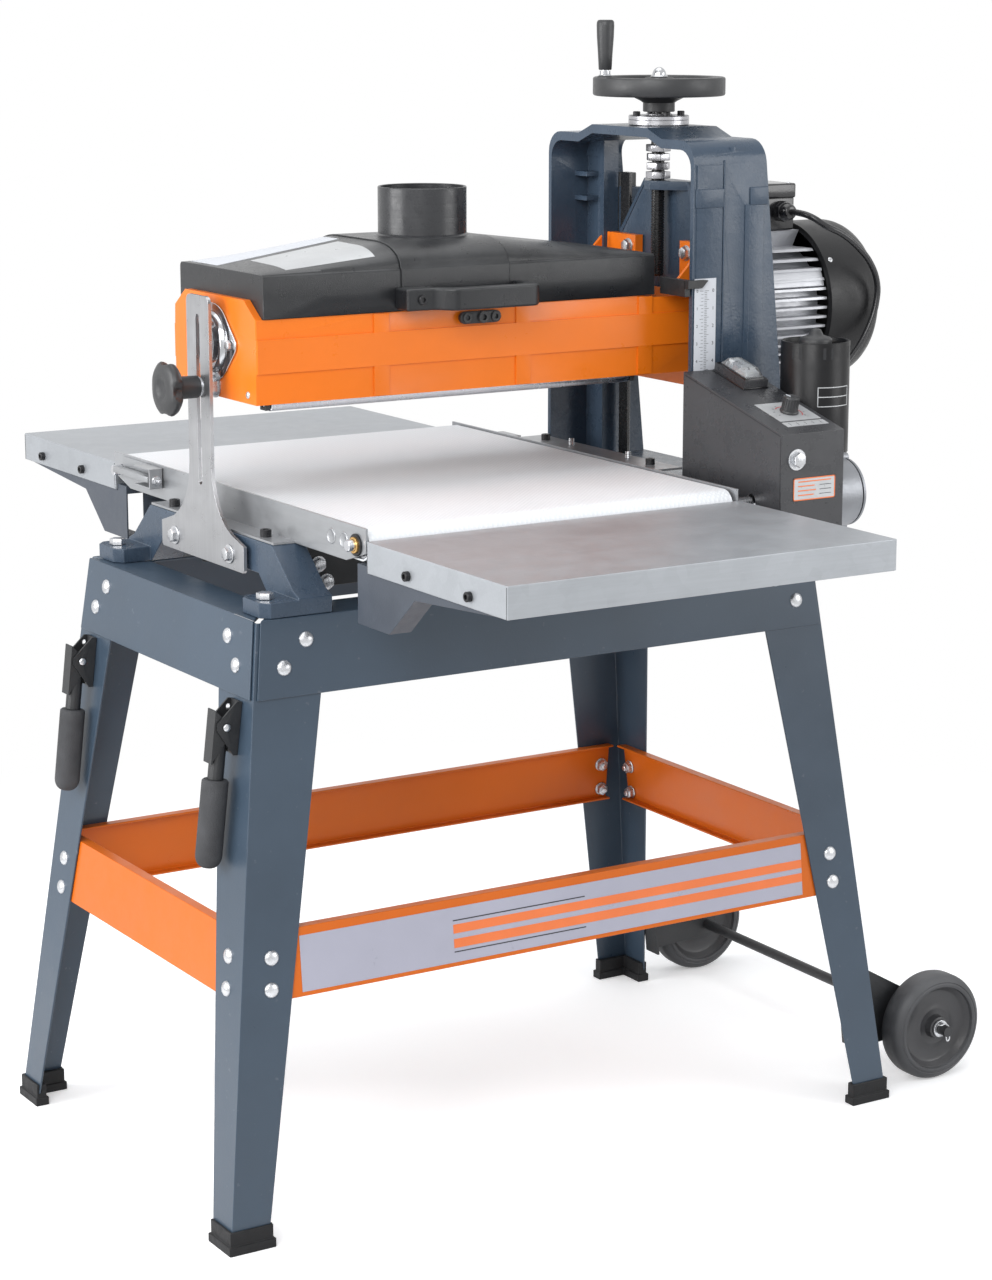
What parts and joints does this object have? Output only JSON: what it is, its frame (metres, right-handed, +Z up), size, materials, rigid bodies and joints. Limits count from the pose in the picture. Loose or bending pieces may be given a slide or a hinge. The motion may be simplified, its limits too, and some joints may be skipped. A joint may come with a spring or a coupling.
{
  "type": "drum sander",
  "caption": "Open-ended benchtop drum sander with a feed belt, side tables, a rising head with dust hood, and a splayed sheet-metal stand on wheels.",
  "frame": {"origin": "middle of the whole machine on the floor", "axes": "+X along the drum towards the motor, +Y the way the stock is fed, +Z up"},
  "size_m": [1.0398, 1.154, 1.269],
  "materials": {
    "stand_paint": "satin dark blue-grey stoved paint",
    "casting_paint": "blue-grey enamel on cast iron",
    "orange_paint": "smooth orange enamel",
    "black_paint": "black powder coat",
    "black_plastic": "moulded black plastic",
    "rubber": "black rubber",
    "tyre": "solid black rubber",
    "zinc_sheet": "galvanised sheet",
    "bright_steel": "bright turned steel",
    "dark_steel": "blackened steel",
    "silver_cast": "silver-grey die cast aluminium",
    "drum_metal": "aluminium drum wound with abrasive strip",
    "belt_cloth": "white fine-grit cloth belt",
    "switch_cover": "clear rocker cover",
    "knob_plastic": "black knob plastic",
    "cable_jacket": "black cable jacket"
  },
  "bodies": {
    "base": {"axle_frame": "black_paint", "brace_front": "orange_paint", "brace_left": "orange_paint", "brace_rear": "orange_paint", "brace_right": "orange_paint", "bracket_infeed_left": "casting_paint", "bracket_infeed_right": "casting_paint", "bracket_outfeed_left": "casting_paint", "bracket_outfeed_right": "casting_paint", "column": "casting_paint", "control_box": "black_paint", "conveyor_bed": "zinc_sheet", "conveyor_belt": "belt_cloth", "crossbeam": "black_paint", "feed_gearbox": "silver_cast", "feed_motor": "black_paint", "foot_front_left": "rubber", "foot_front_right": "rubber", "foot_rear_left": "rubber", "foot_rear_right": "rubber", "infeed_table": "zinc_sheet", "leg_front_left": "stand_paint", "leg_front_right": "stand_paint", "leg_rear_left": "stand_paint", "leg_rear_right": "stand_paint", "lift_bracket_front": "black_paint", "lift_bracket_rear": "black_paint", "outboard_casting": "casting_paint", "outfeed_table": "zinc_sheet", "rail_front": "stand_paint", "rail_left": "stand_paint", "rail_rear": "stand_paint", "rail_right": "stand_paint", "screw_bearing": "bright_steel", "support_arm": "zinc_sheet"},
    "wheel_front": {"wheel_front": "tyre"},
    "wheel_rear": {"wheel_rear": "tyre"},
    "lift_handle_front": {"lift_handle_front": "black_plastic"},
    "lift_handle_rear": {"lift_handle_rear": "black_plastic"},
    "drive_roller": {"drive_roller": "dark_steel"},
    "idler_roller": {"idler_roller": "dark_steel"},
    "height_screw": {"lead_screw": "dark_steel", "handwheel": "black_plastic"},
    "crank_grip": {"crank_grip": "black_plastic"},
    "head": {"carriage": "casting_paint", "drum_housing": "orange_paint", "main_motor": "silver_cast", "fan_cover": "black_plastic", "junction_box": "black_plastic", "motor_cable": "cable_jacket"},
    "drum": {"drum": "drum_metal"},
    "dust_cover": {"dust_cover": "black_plastic"},
    "cover_latch": {"cover_latch": "black_plastic"},
    "press_carrier_front": {"press_carrier_front": "black_paint"},
    "press_carrier_rear": {"press_carrier_rear": "black_paint"},
    "press_roller_front": {"press_roller_front": "bright_steel"},
    "press_roller_rear": {"press_roller_rear": "bright_steel"},
    "lock_knob": {"lock_knob": "knob_plastic"},
    "speed_knob": {"speed_knob": "knob_plastic"},
    "switch_rocker": {"switch_rocker": "switch_cover"}
  },
  "joints": [
    {"name": "wheel_front_spin", "type": "hinge", "parent": "base", "child": "wheel_front", "pos_m": [0.45375, -0.247, 0.0668], "axis": [0, 1, 0], "continuous": true},
    {"name": "wheel_rear_spin", "type": "hinge", "parent": "base", "child": "wheel_rear", "pos_m": [0.45375, 0.247, 0.0668], "axis": [0, 1, 0], "continuous": true},
    {"name": "lift_handle_front_swing", "type": "hinge", "parent": "base", "child": "lift_handle_front", "pos_m": [-0.46925, -0.1835, 0.5505], "axis": [0, 1, 0], "range_deg": [0, 75]},
    {"name": "lift_handle_rear_swing", "type": "hinge", "parent": "base", "child": "lift_handle_rear", "pos_m": [-0.46925, 0.1835, 0.5505], "axis": [0, 1, 0], "range_deg": [0, 75]},
    {"name": "drive_roller_spin", "type": "hinge", "parent": "base", "child": "drive_roller", "pos_m": [-0.07725, -0.285, 0.7485], "axis": [1, 0, 0], "continuous": true},
    {"name": "idler_roller_spin", "type": "hinge", "parent": "base", "child": "idler_roller", "pos_m": [-0.07725, 0.285, 0.7485], "axis": [1, 0, 0], "continuous": true},
    {"name": "screw_turn", "type": "hinge", "parent": "base", "child": "height_screw", "pos_m": [0.20675, 0, 1.19], "axis": [0, 0, 1], "range_deg": [-22320, 0]},
    {"name": "head_slide", "type": "slide", "parent": "base", "child": "head", "axis": [0, 0, 1], "range_m": [-0.093, 0], "deforming": ["motor_cable"]},
    {"name": "crank_grip_spin", "type": "hinge", "parent": "height_screw", "child": "crank_grip", "pos_m": [0.14275, 0.018, 1.24], "axis": [0, 0, 1], "continuous": true},
    {"name": "drum_spin", "type": "hinge", "parent": "head", "child": "drum", "pos_m": [-0.07725, 0, 0.932], "axis": [1, 0, 0], "continuous": true},
    {"name": "cover_hinge", "type": "hinge", "parent": "head", "child": "dust_cover", "pos_m": [-0.11485, 0.104, 0.9635], "axis": [-1, 0, 0], "range_deg": [0, 85]},
    {"name": "latch_turn", "type": "hinge", "parent": "head", "child": "cover_latch", "pos_m": [-0.12175, -0.1003, 0.9505], "axis": [0, 1, 0], "range_deg": [0, 90]},
    {"name": "press_front_lift", "type": "slide", "parent": "head", "child": "press_carrier_front", "axis": [0, 0, 1], "range_m": [0, 0.003], "stiffness_N_per_m": 3000, "springref_m": -0.008},
    {"name": "press_front_spin", "type": "hinge", "parent": "press_carrier_front", "child": "press_roller_front", "pos_m": [-0.12475, -0.0845, 0.87], "axis": [1, 0, 0], "continuous": true},
    {"name": "press_rear_lift", "type": "slide", "parent": "head", "child": "press_carrier_rear", "axis": [0, 0, 1], "range_m": [0, 0.003], "stiffness_N_per_m": 3000, "springref_m": -0.008},
    {"name": "press_rear_spin", "type": "hinge", "parent": "press_carrier_rear", "child": "press_roller_rear", "pos_m": [-0.12475, 0.0845, 0.87], "axis": [1, 0, 0], "continuous": true},
    {"name": "lock_knob_turn", "type": "hinge", "parent": "head", "child": "lock_knob", "pos_m": [-0.42725, 0, 0.882], "axis": [-1, 0, 0], "range_deg": [0, 360]},
    {"name": "speed_knob_turn", "type": "hinge", "parent": "base", "child": "speed_knob", "pos_m": [0.19025, -0.28415, 0.84471], "axis": [0, -0.2528, 0.9675], "range_deg": [-300, 0]},
    {"name": "switch_tilt", "type": "hinge", "parent": "base", "child": "switch_rocker", "pos_m": [0.19475, -0.18764, 0.87603], "axis": [1, 0, 0], "range_deg": [0, 14]}
  ],
  "couplings": [
    {"joint": "screw_turn", "follows": "head_slide", "rad_per_m": 4188.8},
    {"joint": "idler_roller_spin", "follows": "drive_roller_spin", "ratio": 1}
  ]
}
